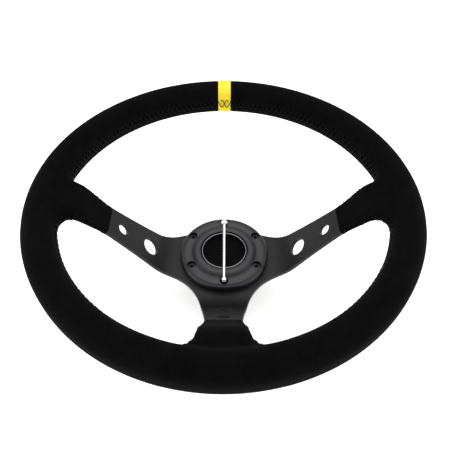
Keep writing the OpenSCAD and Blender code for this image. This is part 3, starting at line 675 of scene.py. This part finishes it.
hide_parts("centre_band")

# ---- Hand stitching
# Waxed black thread that closes the cover's seam. It is laced by hand from hole to hole, so that
# each stitch crosses the next.

THREAD_R = 0.38 * MM
LACE_STEPS = 6
LACE_LIFTS = ((1, 0.21 * MM), (-1, 0.6 * MM))   # the second of two crossing threads rides higher
LACE_END = -0.5 * MM        # its ends go down into the needle holes
THIN_SHARE = 0.55           # on a boot, this share of a stitch lies level and the rest wraps the edge


def waxed_thread():
    """Bonded polyester thread with wax: black and nearly dull, a little uneven along its strands."""
    material, tree, spot = new_material("waxed_polyester_thread")
    strands = add(tree, "ShaderNodeTexNoise", Vector=spot, Scale=1800.0, Detail=2.0)
    tint = add(tree, "ShaderNodeMix", {"data_type": "RGBA"}, Factor=strands.outputs["Fac"],
               _6=linear("#020202"), _7=linear("#0a0a0a"))
    bump = add(tree, "ShaderNodeBump", Height=strands.outputs["Fac"], Strength=0.5, Distance=0.1 * MM)
    finish_with(tree, add(tree, "ShaderNodeBsdfPrincipled", Base_Color=tint.outputs[2], Roughness=0.6,
                          Specular_IOR_Level=0.1, Normal=bump.outputs["Normal"]))
    return material


cover_surface = BVHTree.FromPolygons([v.co for v in cover.data.vertices],
                                     [p.vertices for p in cover.data.polygons])
band_surface = BVHTree.FromPolygons([v.co for v in band.data.vertices],
                                    [p.vertices for p in band.data.polygons])


def on_cover(point):
    """The nearest point of the suede, and which way is out."""
    at, normal, _, away = cover_surface.find_nearest(point)
    at_band, normal_band, _, away_band = band_surface.find_nearest(point)
    if point.y > 0 and abs(point.x) < BAND_HALF_W - 0.3 * MM and away_band < 3 * MM:
        return at_band, normal_band
    return at, normal


def stations(route, pitch):
    """Places along a seam at an even pitch close to the given one, each with its forward direction."""
    walked = [0.0]
    for here, after in zip(route, route[1:]):
        walked.append(walked[-1] + (after - here).length)
    count = round(walked[-1] / pitch)
    xyz = np.array(route)
    at = np.linspace(0, walked[-1], count + 1)
    places = [Vector([np.interp(s, walked, xyz[:, k]) for k in range(3)]) for s in at]
    return [(here, (after - here).normalized()) for here, after in zip(places, places[1:])] + \
        [(places[-1], (places[-1] - places[-2]).normalized())]


def hole(place, forward, side):
    """A needle hole above (+1) or below (-1) the seam, wrapped round the edge where the boot is thin."""
    surface, out = on_cover(place)
    across = out.cross(forward).normalized()
    reach_in = math.hypot(place.x, place.y) < RIM_IN_R - 1 * MM
    level = STITCH_HALF_H * (THIN_SHARE if reach_in else 1.0)
    wrap = STITCH_HALF_H - level
    return surface + across * side * level - out * wrap


laces = bpy.data.curves.new("laces", "CURVE")
laces.dimensions = "3D"
laces.bevel_depth = THREAD_R
laces.bevel_resolution = 1
laces.use_fill_caps = True
for route in seams:
    marks = stations(route, STITCH_PITCH)
    for (a, fa), (b, fb) in zip(marks, marks[1:]):
        for side, lift in LACE_LIFTS:
            start, end = hole(a, fa, -side), hole(b, fb, side)
            run = laces.splines.new("POLY")
            run.points.add(LACE_STEPS)
            for i in range(LACE_STEPS + 1):
                t = i / LACE_STEPS
                at, out = on_cover(start.lerp(end, t))
                over = THREAD_R * 0.7 + lift * math.sin(math.pi * t) ** 2
                ride_h = LACE_END if i in (0, LACE_STEPS) else over
                run.points[i].co = (*(at + out * ride_h), 1)
lace_object = bpy.data.objects.new("laces", laces)
bpy.context.scene.collection.objects.link(lace_object)
thread_mesh = bpy.data.meshes.new_from_object(
    lace_object.evaluated_get(bpy.context.evaluated_depsgraph_get()))
bpy.data.objects.remove(lace_object)
stitching = bpy.data.objects.new("hand_stitching", thread_mesh)
bpy.context.scene.collection.objects.link(stitching)
stitching.data.materials.clear()
stitching.data.materials.append(waxed_thread())
stitching.data.shade_smooth()
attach(stitching, "wheel")

# ---- Horn cup
# A cup moulded in ABS, which carries the horn button. A thin bead round its lip is plated.

BEAD_H = 1.9 * MM


def moulded_cup():
    """Moulded ABS with a spark-eroded grain; the bead at the lip is plated."""
    material, tree, spot = new_material("moulded_abs_with_plated_bead")
    _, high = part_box("horn_housing")
    height = add(tree, "ShaderNodeSeparateXYZ", Vector=spot).outputs["Z"]
    plated = add(tree, "ShaderNodeMath", {"operation": "GREATER_THAN"}, _0=height,
                 _1=high.z - BEAD_H)
    grain = add(tree, "ShaderNodeTexNoise", Vector=spot, Scale=1800.0, Detail=2.0)
    bump = add(tree, "ShaderNodeBump", Height=grain.outputs["Fac"], Strength=0.2, Distance=0.05 * MM)
    abs_plastic = add(tree, "ShaderNodeBsdfPrincipled", Base_Color=linear("#121214"), Roughness=0.45,
                      Normal=bump.outputs["Normal"])
    plate_gloss = add(tree, "ShaderNodeMapRange", Value=grain.outputs["Fac"], To_Min=0.16, To_Max=0.26)
    plating = add(tree, "ShaderNodeBsdfPrincipled", Base_Color=linear("#6a6c70"), Metallic=1.0,
                  Roughness=plate_gloss.outputs[0])
    finish_with(tree, add(tree, "ShaderNodeMixShader", _0=plated.outputs[0], _1=abs_plastic.outputs[0],
                          _2=plating.outputs[0]))
    return material


dress("horn_housing", moulded_cup())

# ---- Horn contacts and spring
# Two rings stamped from brass strip, which meet when the button is pressed, and the coil of spring
# wire that parts them again.


def stamped_brass():
    """Half-hard brass strip: warm, a little dulled by handling."""
    material, tree, spot = new_material("stamped_brass")
    tarnish = add(tree, "ShaderNodeTexNoise", Vector=spot, Scale=300.0, Detail=5.0)
    tint = add(tree, "ShaderNodeMix", {"data_type": "RGBA"}, Factor=tarnish.outputs["Fac"],
               _6=linear("#b08b3e"), _7=linear("#d9b866"))
    gloss = add(tree, "ShaderNodeMapRange", Value=tarnish.outputs["Fac"], To_Min=0.2, To_Max=0.4)
    finish_with(tree, add(tree, "ShaderNodeBsdfPrincipled", Base_Color=tint.outputs[2], Metallic=1.0,
                          Roughness=gloss.outputs[0]))
    return material


brass = stamped_brass()
dress("lower_contact", brass)
dress("upper_contact", brass)

HORN_WIRE = 0.9 * MM
HORN_SPRING_RADIUS = 8 * MM
HORN_SPRING_TURNS = 4
horn_coil = coil_spring("horn_spring_coil", "horn_spring", HORN_SPRING_RADIUS, HORN_WIRE,
                        HORN_SPRING_TURNS)
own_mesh(horn_coil)

# ---- Horn button
# A crowned disc moulded in black acetal, which slides in the cup. Its face is plain, with no badge
# on it.


def black_acetal():
    """Moulded acetal: deep black, with a low even gloss."""
    material, tree, spot = new_material("moulded_black_acetal")
    grain = add(tree, "ShaderNodeTexNoise", Vector=spot, Scale=1500.0, Detail=2.0)
    gloss = add(tree, "ShaderNodeMapRange", Value=grain.outputs["Fac"], To_Min=0.4, To_Max=0.5)
    bump = add(tree, "ShaderNodeBump", Height=grain.outputs["Fac"], Strength=0.08, Distance=0.03 * MM)
    finish_with(tree, add(tree, "ShaderNodeBsdfPrincipled", Base_Color=linear("#020202"),
                          Roughness=gloss.outputs[0], Specular_IOR_Level=0.03,
                          Normal=bump.outputs["Normal"]))
    return material


dress("horn_cap", black_acetal())

# ---- Trim ring
# A moulded nylon ring that spreads the load of the six bolts on the spoke plate. Its face rises
# in two rolls, and each bolt sits in a pocket.


def moulded_nylon():
    """Glass-filled nylon: satin blue-black with a fine moulded grain."""
    material, tree, spot = new_material("moulded_glass_filled_nylon")
    grain = add(tree, "ShaderNodeTexNoise", Vector=spot, Scale=1600.0, Detail=3.0, Roughness=0.6)
    flow = add(tree, "ShaderNodeTexNoise", Vector=spot, Scale=60.0, Detail=2.0)
    tint = add(tree, "ShaderNodeMix", {"data_type": "RGBA"}, Factor=flow.outputs["Fac"],
               _6=linear("#0c0d11"), _7=linear("#131419"))
    gloss = add(tree, "ShaderNodeMapRange", Value=grain.outputs["Fac"], To_Min=0.36, To_Max=0.48)
    bump = add(tree, "ShaderNodeBump", Height=grain.outputs["Fac"], Strength=0.2, Distance=0.05 * MM)
    finish_with(tree, add(tree, "ShaderNodeBsdfPrincipled", Base_Color=tint.outputs[2],
                          Roughness=gloss.outputs[0], Normal=bump.outputs["Normal"]))
    return material


dress("hub_ring", moulded_nylon())

# ---- Screws
# Six M5 screws through ring, plate and body. The top one has a cradle for the bar's ball, and the
# bottom one a fork for its pivot.

for name in ("hub_screws", "catch_screw", "pivot_screw"):
    dress(name, blackened)

# ---- Retaining bar
# A polished stainless rod across the horn button. It hinges on a pin at the bottom, and the top
# screw's cradle catches its ball.


def polished_stainless():
    """Buffed stainless steel: nearly white under the softboxes, with faint polishing lines."""
    material, tree, spot = new_material("buffed_stainless_steel")
    along = add(tree, "ShaderNodeMapping", Vector=spot, Scale=(3000.0, 120.0, 3000.0))
    lines = add(tree, "ShaderNodeTexNoise", Vector=along.outputs[0], Scale=1.0, Detail=2.0)
    gloss = add(tree, "ShaderNodeMapRange", Value=lines.outputs["Fac"], To_Min=0.1, To_Max=0.2)
    finish_with(tree, add(tree, "ShaderNodeBsdfPrincipled", Base_Color=linear("#fafafb"), Metallic=1.0,
                          Roughness=gloss.outputs[0]))
    return material


buffed = polished_stainless()
dress("release_bar", buffed)
dress("pivot_pin", drawn_wire)
